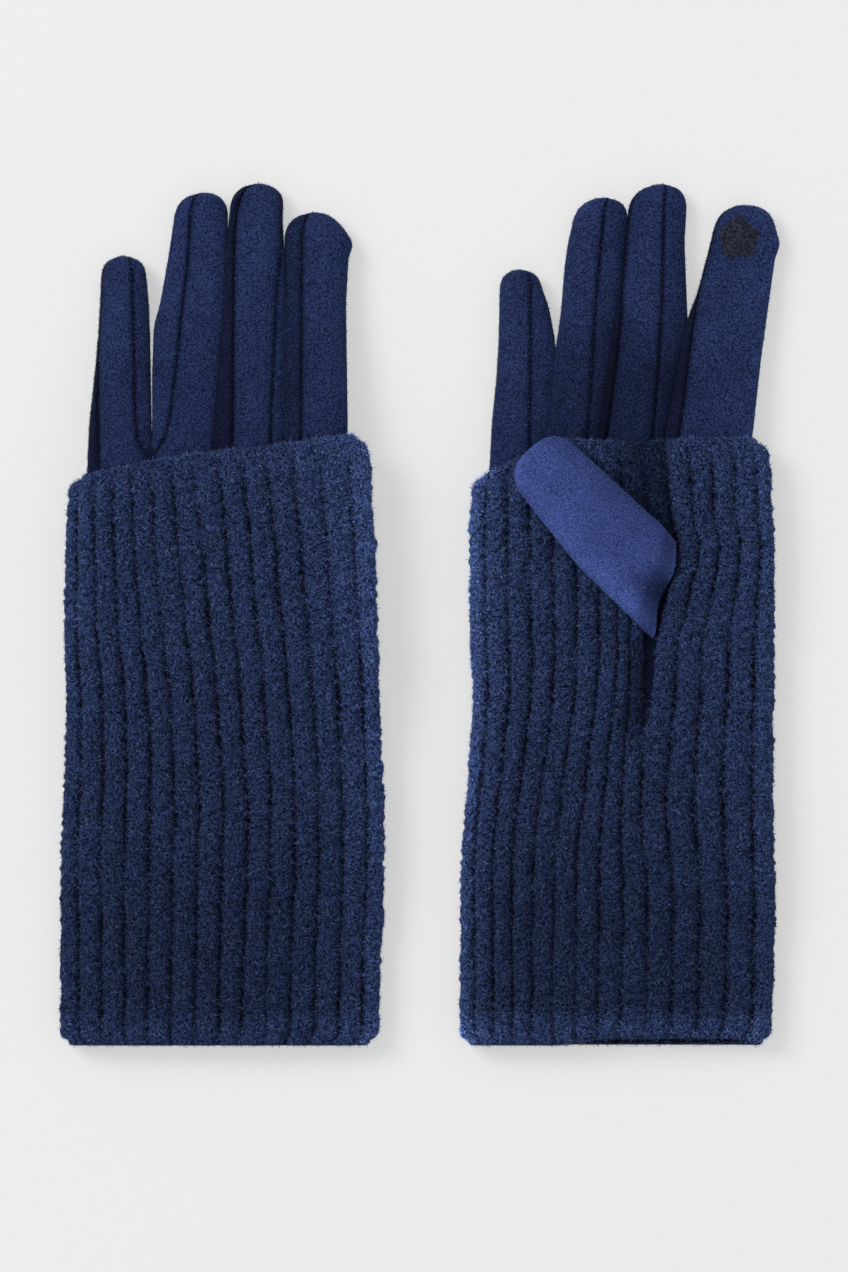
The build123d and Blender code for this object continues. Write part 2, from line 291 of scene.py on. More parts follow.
SUEDE = suede("navy_suede", 0.62, (0.0026, 0.0052, 0.023), (0.024, 0.040, 0.121))
# A lighter copy of the suede for the thumb: partly its nap lying another way, and partly painted light on
# the raised thumb.
SUEDE_THUMB = suede("navy_suede_thumb", 0.40, (0.009, 0.016, 0.068), (0.058, 0.090, 0.285))
# A darker copy of the suede, which is painted shade, for fourchettes in the shade of their neighbours and
# for the inner hand in the dark of the sleeve.
SUEDE_PAINTED_SHADE = suede("navy_suede_painted_shade", 0.62, (0.0020, 0.0030, 0.011), (0.0100, 0.0140, 0.044))
# The first colour of the knit is painted shade in the rib grooves.
KNIT = knit("navy_rib_knit", (0.0005, 0.001, 0.0035), (0.0012, 0.003, 0.010), (0.022, 0.038, 0.108))
WOOL = fibre("navy_fuzz", (0.0008, 0.0025, 0.010), (0.145, 0.215, 0.49))
NAP = fibre("suede_nap", (0.002, 0.004, 0.018), (0.075, 0.108, 0.285))
# Darker nap fibres, which are painted shade, for the same fourchettes.
NAP_PAINTED_SHADE = fibre("suede_nap_painted_shade", (0.0015, 0.002, 0.008), (0.022, 0.030, 0.085))
# Lighter nap fibres for the thumb, for the same two reasons.
NAP_THUMB = fibre("suede_nap_thumb", (0.010, 0.018, 0.078), (0.15, 0.215, 0.60))
PATCH = fibre("patch_fibre", (0.0008, 0.0009, 0.0016), (0.090, 0.102, 0.165))


def dress(obj, material, body):
    """Gives a piece its material and the body that it moves with."""
    obj.data.materials.append(material)
    if body:
        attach(obj, body)
    return obj


# ---------------------------------------------------------------- fibres


def fibres(name, obj, count, length, width, lie, rise, seed):
    """Short blades of fibre that stand on the faces of a mesh, as one mesh."""
    rng = np.random.default_rng(seed)
    mesh = obj.data
    faces = len(mesh.polygons)
    centres, normals = np.zeros(faces * 3, np.float32), np.zeros(faces * 3, np.float32)
    areas, corners = np.zeros(faces, np.float32), np.zeros(faces * 4, np.int32)
    painted_light = np.zeros(len(mesh.vertices), np.float32)
    mesh.polygons.foreach_get("center", centres)
    mesh.polygons.foreach_get("normal", normals)
    mesh.polygons.foreach_get("area", areas)
    mesh.loops.foreach_get("vertex_index", corners)
    mesh.attributes["painted_light"].data.foreach_get("value", painted_light)
    chosen = rng.choice(faces, count, p=areas.astype(float) / areas.astype(float).sum())
    normal = normals.reshape(-1, 3)[chosen]
    root = centres.reshape(-1, 3)[chosen] / MM + rng.uniform(-0.35, 0.35, (count, 3)) - normal * 0.15
    way = rng.normal(0, 1, (count, 3)) * np.array(lie)
    way -= normal * (way * normal).sum(1)[:, None]
    way /= np.linalg.norm(way, axis=1)[:, None] + 1e-9
    long, up, thick = (rng.uniform(*limits, count)[:, None] for limits in (length, rise, width))
    side = np.cross(normal, way) * thick / 2
    tip = root + long * way + normal * long * up
    blade = [root - side, root + side, tip + side * 0.4, tip - side * 0.4]
    made = mesh_object(name, np.stack(blade, 1), np.arange(count * 4).reshape(-1, 4))
    attribute(made, "tone", np.repeat(rng.beta(1.2, 3.0, count), 4))
    # Each fibre takes the painted light and shade of the face that it stands on.
    attribute(made, "painted_light", np.repeat(painted_light[corners.reshape(-1, 4)[chosen, 0]], 4))
    return made


# ---------------------------------------------------------------- knit sleeve


# Each long edge of a sleeve has one soft bow: how far it goes to the right, at which level, and how broad
# it is. The left edges are drawn in near the level of the thumb. The right ones are full towards the wrist.
EDGE_BOWS = {
    "left": ((2.0, -25.0, 45.0), (2.0, -80.0, 45.0)),
    "right": ((4.0, -20.0, 45.0), (1.5, -110.0, 40.0)),
}


# The top edge of the left sleeve: shares of its width, and how far above the CAD edge it is.
TOP_HANG = ((0.0, 0.2, 0.48, 0.75, 0.88, 0.96, 1.0), (-12.0, -9.2, -4.8, -2.0, 0.6, 2.4, 1.8))


class Sleeve:
    """Where the surface of one glove's knit tube is."""

    def __init__(self, side):
        self.side = side
        top_low, top_high = box_mm(f"{side}_sleeve_top_edge")
        end_low, end_high = box_mm(f"{side}_sleeve_hem")
        low, high = box_mm(f"{side}_sleeve_back")
        self.top_y, self.end_y = top_high[1] + 2.0, end_low[1]
        self.band_y, self.hem_y = top_low[1], end_high[1]
        self.stations = np.array([self.end_y, 0.0, top_high[1]])
        self.left = np.array([end_low[0], low[0] + 0.4, top_low[0]])
        self.right = np.array([end_high[0], high[0] - 0.2, top_high[0]])
        self.thumb_low = box_mm(f"{side}_thumb_outer")[0]
        self.root = np.array(JOINTS[f"{side}_thumb_swing"]["pos_m"]) / MM
        self.palm_up = self.root[2] > high[2]

    def edges(self, y):
        """X of the sleeve's left and right edge."""
        top = np.clip((y - self.top_y + 5.0) / 5.0, 0, 1)
        end = np.clip((self.end_y + 3.5 - y) / 3.5, 0, 1)
        corner = 0.5 + 4.2 * (1 - np.sqrt(1 - top**2)) + 2.6 * (1 - np.sqrt(1 - end**2))
        bows = [size * hill(y, level, width) for size, level, width in EDGE_BOWS[self.side]]
        bows = [bow + 0.2 * noise(y, 0, 6.0, 6) for bow in bows]
        left = np.interp(y, self.stations, self.left) + bows[0]
        right = np.interp(y, self.stations, self.right) + bows[1]
        return left + corner, right - corner

    def top_of(self, share):
        """Y of the top edge across the sleeve, which hangs lower at the little finger."""
        if self.palm_up:
            return self.top_y + 0.4 - 11.4 * (1 - step(share, 0.0, 0.34)) + 0.6 * np.sin(9 * share)
        places = [share + offset for offset in (-0.06, -0.02, 0.02, 0.06)]
        return self.top_y + sum(np.interp(place, *TOP_HANG) for place in places) / len(places)

    def end_of(self, share, upper):
        """Y of the lower edge. The upper layer sits a little above the lower one."""
        raised = 2.4 * step(share, 0.35, 0.55) * (1 - step(share, 0.9, 1.0)) if self.palm_up else 0.0
        return self.end_y + 0.5 + upper * raised

    def thickness(self, y):
        """From the lowest to the highest rib base."""
        return CUFF_THICK + (SLEEVE_THICK - CUFF_THICK) * step(y, -116.0, -78.0)

    def lift(self, x, y):
        """How far the thumb under the glove raises it, which leaves room for the thumb to swing out."""
        beside = step(x, self.thumb_low[0] - 16, self.thumb_low[0] + 6)
        return LIFT * step(y, -50.0, -6.0) * (0.2 + 0.8 * beside) * (not self.palm_up)

    def middle_z(self, x, y):
        """Height of the middle between the sleeve's layers."""
        return CREST + self.thickness(y) / 2 + self.lift(x, y)

    def wander(self, share, y):
        """How far the ribs stray round the tube, as a share of it."""
        soft = 0.9 * noise(share * GIRTH, y, 34.0, 11) + 0.45 * noise(share * GIRTH, y, 11.0, 12)
        face = np.sin(pi * np.clip(share * 2 % 1.0, 0, 1))
        lean = -6.5 * (1 - step(y, -95.0, 5.0)) if self.palm_up else -10.0 * step(y, -70.0, 90.0)
        lean = lean * np.where(share < 0.5, face, 0)
        return (soft * face**0.5 + lean) / GIRTH

    def section(self, y):
        """Cross-sections at each y, as points spread evenly round the tube: x, z and the outward normal.

        They start at the left edge and run over the upper layer first."""
        dense, columns = 1400, RIBS * RIB_COLUMNS
        angle = pi - np.linspace(0, 2 * pi, dense)
        across, up = rounded(angle, 3.6)
        left, right = self.edges(y)
        x = ((left + right) / 2)[:, None] + ((right - left) / 2 - 0.6)[:, None] * across
        z = self.thickness(y)[:, None] / 2 * up
        length = np.concatenate([np.zeros((len(y), 1)), np.cumsum(np.hypot(np.diff(x), np.diff(z)), 1)], 1)
        share = np.arange(columns) / columns
        out = np.zeros((len(y), columns, 4))
        for row, level in enumerate(y):
            place = (share + self.wander(share, level)) % 1.0 * length[row, -1]
            out[row, :, 0] = np.interp(place, length[row], x[row])
            out[row, :, 1] = np.interp(place, length[row], z[row])
        along = np.roll(out[:, :, :2], -1, 1) - np.roll(out[:, :, :2], 1, 1)
        along /= np.linalg.norm(along, axis=2)[:, :, None] + 1e-9
        out[:, :, 2], out[:, :, 3] = -along[:, :, 1], along[:, :, 0]
        return out

    def slit(self, y):
        """X of the left and right lip of the slit for the thumb, which meet above and below it."""
        levels = self.root[1] + np.array([-70.0, -44.0, -31.0, -15.0, -1.0, 8.0, 17.0, 30.0, 50.0])
        right = self.root[0] + np.interp(y, levels, [-6.5, -4.8, -2.8, -1.6, 1.8, 4.4, 5.9, 3.6, 2.6])
        gap = np.interp(y, levels, [0.0, 0.0, 1.8, 3.6, 5.0, 4.2, 1.0, 0.0, 0.0])
        return right - gap, right

    def relief(self, x, y):
        """Rise of the knit beside the slit, sunk on the thumb's side, and painted shade on the sunk knit and
        beside the slit.
        """
        line = self.slit(y)[1]
        sunk = step(y, 14.0, 30.0) * (1 - step(y, 58.0, 66.0))
        sunk = sunk * step(x, line - 26, line - 8) * (1 - step(x, line - 1, line + 1.5))
        wedge = step(-y, 2.0, 12.0) * (1 - step(-y, 34.0, 50.0))
        wedge = wedge * step(x, line - 13, line - 2) * (1 - step(x, line - 1, line + 0.5))
        lip = step(y, -40.0, -12.0) * (1 - step(y, 26.0, 50.0)) * hill(x, line + 4.0, 5.0)
        # The second number is painted shade on the sunk knit and in the wedge by the slit.
        return -3.0 * sunk - 2.4 * wedge + 0.9 * lip, 1 - 0.6 * sunk - 0.6 * wedge

    def painted_light(self, y, across):
        """Painted light and shade on the knit: lighter along the edges, at the hem and towards the fingers.
        """
        hem = 1.25 if self.palm_up else 1.0
        levels = [-141, -137, -131, -100, -60, -20, 60]
        along = np.interp(y, levels, [hem, hem, 0.67, 0.71, 0.86, 0.98, 1.1])
        left, right = ((3.1, 6.0), (1.0, 8.0)) if self.palm_up else ((0.35, 10.0), (1.9, 8.0))
        span = GIRTH / 2
        # Painted light along both long edges of the sleeve.
        painted_rim_light = left[0] * np.exp(-across * span / left[1])
        painted_rim_light = painted_rim_light + right[0] * np.exp(-(1 - across) * span / right[1])
        return along * (1 + painted_rim_light[None, :])


def rib_relief(along, seed):
    """Outward relief of ribs and stitches over rows and columns, and how near each point is to a crest."""
    columns = np.arange(RIBS * RIB_COLUMNS)
    place = np.abs(columns % RIB_COLUMNS / RIB_COLUMNS * 2 - 1)
    along, place = along[:, None], place[None, :]
    around = columns[None, :] * GIRTH / len(columns)
    turns = along / STITCH - 0.5 * place + 0.37 * (columns // RIB_COLUMNS)[None, :]
    clear = 0.45 + 0.55 * step(noise(around, along, 17.0, seed + 2), -0.5, 0.6)
    chevron = np.cos(2 * pi * turns) * clear
    beads = place * (1 + 0.17 * chevron + 0.13 * noise(around, along, 2.6, seed + 3))
    profile = np.clip(1 - np.clip(beads, 0, 1) ** 2.6, 0, 1) ** 0.75
    filled = 0.34 * step(noise(around, along, 15.0, seed + 4), -0.1, 0.8)
    profile = profile + filled * (1 - profile)
    rough = 0.50 * noise(around, along, 2.1, seed) + 0.42 * noise(around, along, 1.0, seed + 1)
    relief = RIB_DEEP * (profile - RIB_LOW) + 0.36 * chevron * profile + rough * (0.35 + 0.65 * profile)
    return relief, profile + 0 * along


def sleeve_grid(sleeve):
    """Points of the whole sleeve over rows and columns, from inside its lower end to inside its top end."""
    columns = RIBS * RIB_COLUMNS
    share = np.arange(columns) / columns
    upper = (share < 0.5).astype(float)
    across = np.where(share < 0.5, share * 2, 2 - share * 2)
    rows = int((sleeve.top_y - sleeve.end_y) / ROW)
    level = np.linspace(0, 1, rows)
    nominal = sleeve.end_y + level * (sleeve.top_y - sleeve.end_y)
    outer = sleeve.section(nominal)
    relief, crest = rib_relief(nominal, 31 + 16 * sleeve.palm_up)
    start, stop = sleeve.end_of(across, upper) + LIP, sleeve.top_of(across) - LIP
    y = start[None, :] + level[:, None] * (stop - start)[None, :]
    near_top = 1 - step(stop[None, :] - y, 1.0, 11.0)
    near_hem = 1 - step(y - start[None, :], 0.0, 6.0)
    shallow = 1 - 0.62 * near_top - 0.3 * near_hem
    relief = relief * shallow + 0.35 * (1 - shallow)
    crest = 1 - (1 - crest) * shallow
    arc = np.linspace(0, pi, 9)[1:]
    deep = np.linspace(0, 1, 14)[1:]
    down = np.concatenate([LIP * np.sin(arc), -INSIDE * deep])
    inset = np.concatenate([LIP * (1 - np.cos(arc)), 2 * LIP + 0 * deep])
    fade = np.concatenate([0.5 + 0.5 * np.cos(arc), 0.0 * deep]) * 0.8 + 0.2

    def end(row, sign):
        """Rows that roll over an edge and run back inside."""
        shape = outer[row][None].repeat(len(down), 0)
        place = y[row][None] + sign * down[:, None]
        depth = relief[row][None] * fade[:, None] - inset[:, None]
        return shape, place, depth, crest[row][None] * fade[:, None]

    low, high = end(0, -1), end(-1, 1)
    parts = [[part[::-1] for part in low], [outer, y, relief, crest], list(high)]
    outer, y, relief, crest = (np.concatenate([group[key] for group in parts]) for key in range(4))
    x = outer[:, :, 0] + outer[:, :, 2] * relief
    z = outer[:, :, 1] + outer[:, :, 3] * relief
    palm = upper if sleeve.palm_up else 1 - upper
    x, cut = open_slit(sleeve, x, y, across, palm, len(down))
    beside, pile_and_painted_shade = sleeve.relief(x, y)
    shown = palm[None, :] * sleeve.palm_up
    z = np.maximum(z + sleeve.middle_z(x, y) + beside * shown, 0.1)
    # Painted light and shade of the knit, with painted shade beside the slit on the palm layer.
    painted_light = sleeve.painted_light(y, across) * (1 + (pile_and_painted_shade - 1) * shown)
    return np.stack([x, y, z], 2), crest, painted_light, len(down), cut


def open_slit(sleeve, x, y, across, palm, inner_rows):
    """Shifts the palm layer's ribs so that a groove opens into the slit, and says which quads are gone."""
    columns = x.shape[1]
    faces = np.zeros((x.shape[0] - 1, columns), bool)
    left, right = sleeve.slit(y)
    middle_row = np.argmin(np.abs(y[inner_rows:-inner_rows, 0] - sleeve.root[1])) + inner_rows
    target = sleeve.root[0] + 2.0
    inner = palm.astype(bool) & (across > 0.1) & (across < 0.95)
    grooves = [column for column in range(0, columns, RIB_COLUMNS) if inner[column]]
    groove = min(grooves, key=lambda column: abs(x[middle_row, column] - target))
    line = x[:, groove][:, None]
    aside = np.abs(x - line)
    order = np.arange(columns)[None, :] - groove
    on_right = (order > 0) if sleeve.palm_up else (order < 0)
    pull = np.where(on_right, right - line, left - line)
    pull = np.where(order == 0, (left + right) / 2 - line, pull)
    reach = np.exp(-((aside / np.where(on_right, 30.0, 13.0)) ** 2)) * palm[None, :]
    gap = right - left
    near = step(y, sleeve.root[1] - 110.0, sleeve.root[1] - 70.0)
    moved = x + pull * reach * near
    opened = gap[:, groove] > SLIT_OPEN
    for column in (groove - 1, groove):
        faces[:, column] = opened[:-1] & opened[1:]
    return moved, faces


def take(name, grids, cut, rows, columns):
    """One piece of the sleeve's grid, between rows and over columns."""
    points, crest, painted_light = (grid[rows][:, columns] for grid in grids)
    faces = grid_faces(points.shape[0], points.shape[1], False)
    gone = cut[rows][:-1][:, columns][:, :-1].ravel()
    made = mesh_object(name, points, faces[~gone])
    attribute(made, "crest", crest)
    attribute(made, "painted_light", painted_light)
    return made


def make_sleeve(side):
    """All pieces of one knit sleeve."""
    sleeve = Sleeve(side)
    points, crest, painted_light, ends, cut = sleeve_grid(sleeve)
    cut = np.concatenate([cut, cut[-1:]])
    rows, columns = points.shape[:2]
    level = points[:, RIBS * RIB_COLUMNS // 4, 1]
    hem = np.argmax(level[ends:-ends] > sleeve.hem_y) + ends
    band = rows - ends - int((sleeve.top_y - sleeve.band_y) / ROW)
    half = columns // 2
    seam = 4
    upper, lower = np.arange(seam, half + 1), np.arange(half, columns - seam + 1)
    names = ("palm", "back") if sleeve.palm_up else ("back", "palm")
    everything = np.append(np.arange(columns), 0)
    body = slice(hem, band + 1)
    pieces = [
        (f"{side}_knit_{names[0]}", body, upper, f"{side}_sleeve_{names[0]}"),
        (f"{side}_knit_{names[1]}", body, lower, f"{side}_sleeve_{names[1]}"),
        (f"{side}_knit_side_seam", body, np.arange(-seam, seam + 1) % columns, f"{side}_sleeve_seam"),
        (f"{side}_knit_top_edge", slice(band, rows), everything, f"{side}_sleeve_top_edge"),
        (f"{side}_knit_hem", slice(0, hem + 1), everything, f"{side}_sleeve_hem"),
    ]
    for seed, (name, span, over, node) in enumerate(pieces):
        made = take(name, (points, crest, painted_light), cut, span, over)
        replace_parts(dress(made, KNIT, f"{side}_sleeve"), node)
        count = int(FUZZ * len(made.data.polygons))
        rise = (0.2, 1.2) if "top_edge" in name else (0.1, 0.8)
        length, width, lie = (0.4, 1.3), (0.09, 0.20), (1.0, 1.2, 1.0)
        fuzz = fibres(name + "_fuzz", made, count, length, width, lie, rise, 100 + seed)
        dress(fuzz, WOOL, f"{side}_sleeve")
    return sleeve


# ---------------------------------------------------------------- fingers

# The outline of each finger seen from above, and its seams. Every line is a list of stations: the share of
# the finger's length from the fold line, and how far right of its axis the line is there. A finger is a main
# panel with fourchettes beside it: the first line is its left edge, the last its right, the rest are seams.
OUTLINES = {
    "left": {
        "little": [
            [(-0.35, -11.0), (0, -10.4), (0.29, -9.0), (0.5, -8.2), (0.73, -7.7), (0.9, -7.5)],
            [(-0.35, -6.4), (0, -7.2), (0.3, -7.6), (0.5, -7.8), (0.9, -7.3)],
            [(-0.22, 10.5), (-0.13, 6.4), (0, 5.1), (0.5, 4.0), (0.95, 2.8)],
            [(-0.35, 10.6), (0, 10.3), (0.5, 9.2), (0.73, 8.4), (0.9, 7.3)],
        ],
        "ring": [
            [
                (-0.3, -12.0), (0, -11.8), (0.21, -12.9), (0.42, -13.4),
                (0.52, -11.7), (0.73, -9.9), (0.9, -8.8),
            ],
            [
                (-0.16, -12.0), (-0.09, -7.6), (0, -5.8), (0.23, -4.8),
                (0.47, -4.1), (0.66, -3.2), (0.96, -3.1),
            ],
            [(-0.3, 9.4), (0, 9.2), (0.23, 9.7), (0.56, 10.1), (0.93, 9.0)],
        ],
        "middle": [
            [(-0.3, -13.6), (0, -13.0), (0.5, -11.4), (0.75, -10.2), (0.9, -9.0)],
            [(-0.3, -6.4), (0, -6.4), (0.5, -6.9), (0.8, -7.1), (0.98, -5.2)],
            [(-0.3, 6.2), (0, 6.3), (0.5, 7.1), (0.75, 8.5), (0.9, 8.6)],
            [(-0.3, 11.6), (0, 11.2), (0.5, 10.5), (0.75, 9.2), (0.86, 8.5), (0.93, 8.9), (0.98, 9.3)],
        ],
        "index": [
            [(-0.3, -11.6), (0, -11.7), (0.5, -11.7), (0.92, -11.4)],
            [(-0.3, -5.0), (0, -5.1), (0.85, -5.4), (0.97, -5.0)],
            [(-0.3, 10.2), (0, 10.2), (0.57, 9.3), (0.80, 10.1), (0.845, 12.0), (0.88, 10.2), (0.97, 7.4)],
        ],
    },
    "right": {
        "little": [
            [(-0.35, -10.0), (0, -9.2), (0.31, -7.7), (0.54, -7.1), (0.9, -6.8)],
            [(-0.2, 3.6), (0, 3.6), (0.5, 3.8), (0.9, 3.4)],
            [(-0.35, 12.5), (0, 12.4), (0.45, 12.3), (0.6, 11.2), (0.75, 9.7), (0.9, 7.0)],
        ],
        "ring": [
            [(-0.3, -9.4), (0, -9.3), (0.37, -9.0), (0.48, -8.8), (0.69, -9.6), (0.8, -9.5), (0.9, -8.7)],
            [(-0.3, 5.6), (0, 5.1), (0.23, 4.3), (0.53, 2.5), (0.9, 1.4)],
            [(-0.3, 10.0), (0, 9.6), (0.38, 9.8), (0.62, 9.9), (0.8, 9.6), (0.88, 9.4)],
        ],
        "middle": [
            [
                (-0.3, -12.4), (0, -12.0), (0.18, -11.4), (0.35, -10.8),
                (0.5, -9.9), (0.75, -9.8), (0.9, -9.8),
            ],
            [(-0.3, -7.4), (0, -7.3), (0.25, -7.0), (0.45, -7.4), (0.55, -8.3), (0.9, -9.2)],
            [(-0.3, 8.2), (0, 7.6), (0.22, 6.9), (0.5, 5.5), (0.92, 2.0)],
            [
                (-0.3, 12.0), (0, 12.0), (0.12, 12.6), (0.31, 13.8),
                (0.41, 15.0), (0.51, 13.6), (0.76, 10.3), (0.92, 9.5),
            ],
        ],
        "index": [
            [
                (-0.3, -15.0), (0, -14.5), (0.14, -13.8), (0.34, -14.0),
                (0.43, -13.2), (0.6, -10.3), (0.82, -8.4), (0.9, -7.9),
            ],
            [(-0.3, -9.2), (0, -9.5), (0.34, -10.0), (0.5, -10.0), (0.64, -9.6), (0.9, -7.6)],
            [
                (-0.3, 15.2), (0, 14.8), (0.3, 14.1), (0.7, 14.0),
                (0.77, 14.0), (0.82, 15.4), (0.86, 13.6), (0.92, 12.4),
            ],
        ],
    },
}
MAIN_PANEL = {  # which strip of the outline is the main panel
    "left": {"little": 1, "ring": 1, "middle": 1, "index": 1},
    "right": {"little": 0, "ring": 0, "middle": 1, "index": 1},
}
LEAN = {  # degrees towards the index side
    "left": {"little": 0.9, "ring": 3.4, "middle": 1.0, "index": 0.4},
    "right": {"little": 0.4, "ring": 7.4, "middle": 7.2, "index": 8.2},
}
TIP_ROOM = {"left": 0.8, "right": 0.3}  # the tips stand this far beyond the CAD fingers
ASIDE = {"left": 0.0, "right": 0.35}  # fingers to the index side of their joints
# Painted shade at the fold line, where the fingers shade each other.
PAINTED_FOLD_SHADE = {("right", "ring"): 0.42, ("right", "middle"): 0.5}  # how much darker a finger is at its fold line
# Skew of the rounded tip, to the right.
TIP_LEAN = {("right", "ring"): 1.6, ("right", "middle"): 1.2, ("right", "index"): -1.5}
PANEL_COLUMNS, STRIP_COLUMNS, FINGER_RINGS = 30, 14, 210
SEAM_DEEP, SEAM_WIDE, SEAM_STITCH = 1.5, 0.75, 1.8


def soft_line(shares, stations):
    """A soft curve through the stations of one line."""
    given = np.array(stations)
    offsets = np.linspace(-0.03, 0.03, 7)
    return sum(np.interp(shares + offset, given[:, 0], given[:, 1]) for offset in offsets) / len(offsets)


class Finger:
    """The axis of one finger in the frame."""

    def __init__(self, side, name, sleeve):
        self.side, self.name, self.sleeve = side, name, sleeve
        self.root = np.array(JOINTS[f"{side}_{name}_fold"]["pos_m"]) / MM
        self.length = box_mm(f"{side}_{name}_back")[1][1] - self.root[1] + TIP_ROOM[side]
        self.lean = tan(radians(LEAN[side][name]))
        self.root_z = float(sleeve.middle_z(self.root[0], self.root[1])) - 0.2
        self.tip_z = HALF_THICK * 0.88 + 0.35

    def middle_z(self, share):
        """Height of the finger's middle along it."""
        sag = 0.5 * np.sin(pi * np.clip(share, 0, 1))
        return self.root_z + (self.tip_z - self.root_z) * np.clip(share, 0, 1) - sag

    def surface(self):
        """Rings of points round the finger, and for each column the number of its strip."""
        lines = OUTLINES[self.side][self.name]
        main = MAIN_PANEL[self.side][self.name]
        start = lines[0][0][0]
        share = start + (1 - start) * np.sin(np.linspace(0, pi / 2, FINGER_RINGS)) ** 0.85
        curves = np.array([soft_line(share, line) for line in lines])
        for number in range(1, len(curves) - 1):
            curves[number] = np.clip(curves[number], curves[0] + 0.35, curves[-1] - 0.35)
        across, strips = [], []
        for number in range(len(lines) - 1):
            count = PANEL_COLUMNS if number == main else STRIP_COLUMNS
            place = np.linspace(0, 1, count + 1)
            if number == 0:
                place = 1 - np.cos(pi / 2 * place)
            if number == len(lines) - 2:
                place = np.sin(pi / 2 * place)
            width = (curves[number + 1] - curves[number])[:, None]
            across.append(curves[number][:, None] + place[None, :] * width)
            strips += [number] * (count + 1)
        lateral, strips = np.concatenate(across, 1), np.array(strips)
        left, right = curves[0][:, None], curves[-1][:, None]
        middle, half = (left + right) / 2, (right - left) / 2
        unit = np.clip((lateral - middle) / half, -1, 1)
        cap = half[-1, 0] / self.length
        close = (1 - np.clip((share - (1 - cap)) / cap, 0, 1) ** 2.4)[:, None] ** (1 / 2.4)
        height = (1 - np.abs(unit) ** 2.5) ** (1 / 2.2)
        groove = sum(np.exp(-(((lateral - curve[:, None]) / SEAM_WIDE) ** 2)) for curve in curves[1:-1])
        main_left, main_right = curves[main][:, None], curves[main + 1][:, None]
        beyond = np.clip(main_left - lateral, 0, None) + np.clip(lateral - main_right, 0, None)
        axis = self.root[0] + ASIDE[self.side] + self.lean * self.length * share[:, None]
        x = axis + middle + half * close * unit + TIP_LEAN.get((self.side, self.name), 0.0) * (1 - close)
        seed = 200 + sum(map(ord, self.side + self.name))
        notch = 0.35 * groove * step(share, 0.93, 1.0)[:, None]
        y = self.root[1] + self.length * share[:, None] - notch
        y = y - 0.07 * beyond * step(share, 0.8, 1.0)[:, None]
        stitches = np.cos(2 * pi * y / SEAM_STITCH)
        puckers = noise(y, 0, 2.6, seed + 5) + 0.8 * stitches
        dents = 0.45 * noise(x, y, 12.0, seed) + 0.2 * noise(x, y, 4.5, seed + 1)
        dents = dents + 0.07 * noise(x, y, 1.4, seed + 2)
        seam = (SEAM_DEEP + 0.35 * puckers) * groove * height
        rise = (HALF_THICK - 0.13 * beyond) * height + dents * height - seam
        fall = HALF_THICK * height - 0.5 * SEAM_DEEP * groove * height
        z = self.middle_z(share)[:, None] + 0 * x
        top = np.stack([x, y, z + np.clip(rise, 0, None) * close**0.85], 2)
        under = np.stack([x, y, z - fall * close**0.85], 2)
        # Painted shade in and beside the seams, on the fourchettes beyond the main panel and towards the
        # finger's edges.
        soft = sum(np.exp(-(((lateral - curve[:, None]) / 2.6) ** 2)) for curve in curves[1:-1])
        shade = (0.62 + 0.16 * stitches) * np.clip(groove, 0, 1) + 0.2 * np.clip(soft, 0, 1)
        shade = shade + 0.10 * np.clip(beyond / 5, 0, 1) + 0.12 * (1 - height)
        # Painted shade near the fold line, where the fingers shade each other, a painted highlight along the
        # right index finger's right edge and painted shade on the left side of the left index finger.
        painted_light = 1 - PAINTED_FOLD_SHADE.get((self.side, self.name), 0.14) * (1 - step(share[:, None], 0.15, 0.65)) + 0 * x
        if (self.side, self.name) == ("right", "index"):
            painted_light = painted_light + 0.75 * np.exp(-(right - lateral) / 5.0)
        if (self.side, self.name) == ("left", "index"):
            painted_light = painted_light * (1 - 0.42 * (1 - step(lateral, main_left - 2.5, main_left + 1.5)))
        return top, under, np.clip(shade, 0, 1), painted_light, strips, main


def finger_piece(name, top, under, shade, painted_light):
    """Both faces of some strips of a finger."""
    rows, columns = top.shape[:2]
    faces = grid_faces(rows, columns, False)
    points = np.concatenate([top.reshape(-1, 3), under.reshape(-1, 3)])
    made = mesh_object(name, points, np.concatenate([faces, faces[:, ::-1] + rows * columns]))
    attribute(made, "shade", np.concatenate([shade.ravel(), shade.ravel()]))
    attribute(made, "painted_light", np.concatenate([painted_light.ravel(), painted_light.ravel()]))
    return made


def make_finger(side, name, sleeve):
    """Panels, fourchettes and nap of one finger."""
    finger = Finger(side, name, sleeve)
    *grids, strips, main = finger.surface()
    made = []
    for number in range(strips.max() + 1):
        chosen = strips == number
        kind = "panels" if number == main else f"side_{number + 1}"
        piece = finger_piece(f"{side}_{name}_suede_{kind}", *(grid[:, chosen] for grid in grids))
        # Fourchettes to the left of the main panel get the darker copies of the suede and nap, which are
        # painted shade, except on the left ring and index fingers.
        shaded = number < main and (side, name) not in (("left", "ring"), ("left", "index"))
        dress(piece, SUEDE_PAINTED_SHADE if shaded else SUEDE, None)
        made.append(piece)
        count = len(piece.data.polygons)
        length, width, lie, rise = (0.25, 0.8), (0.12, 0.28), (1, 1, 1), (0.1, 0.6)
        nap = fibres(piece.name + "_nap", piece, count, length, width, lie, rise, 300 + number)
        dress(nap, NAP_PAINTED_SHADE if shaded else NAP, None)
        for part in (piece, nap):
            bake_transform(part)
    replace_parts(made[main], f"{side}_{name}_back", f"{side}_{name}_palm")
    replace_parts(made[main - 1 if main else 1], f"{side}_{name}_fourchettes")
    return finger


# ---------------------------------------------------------------- hand of the inner glove


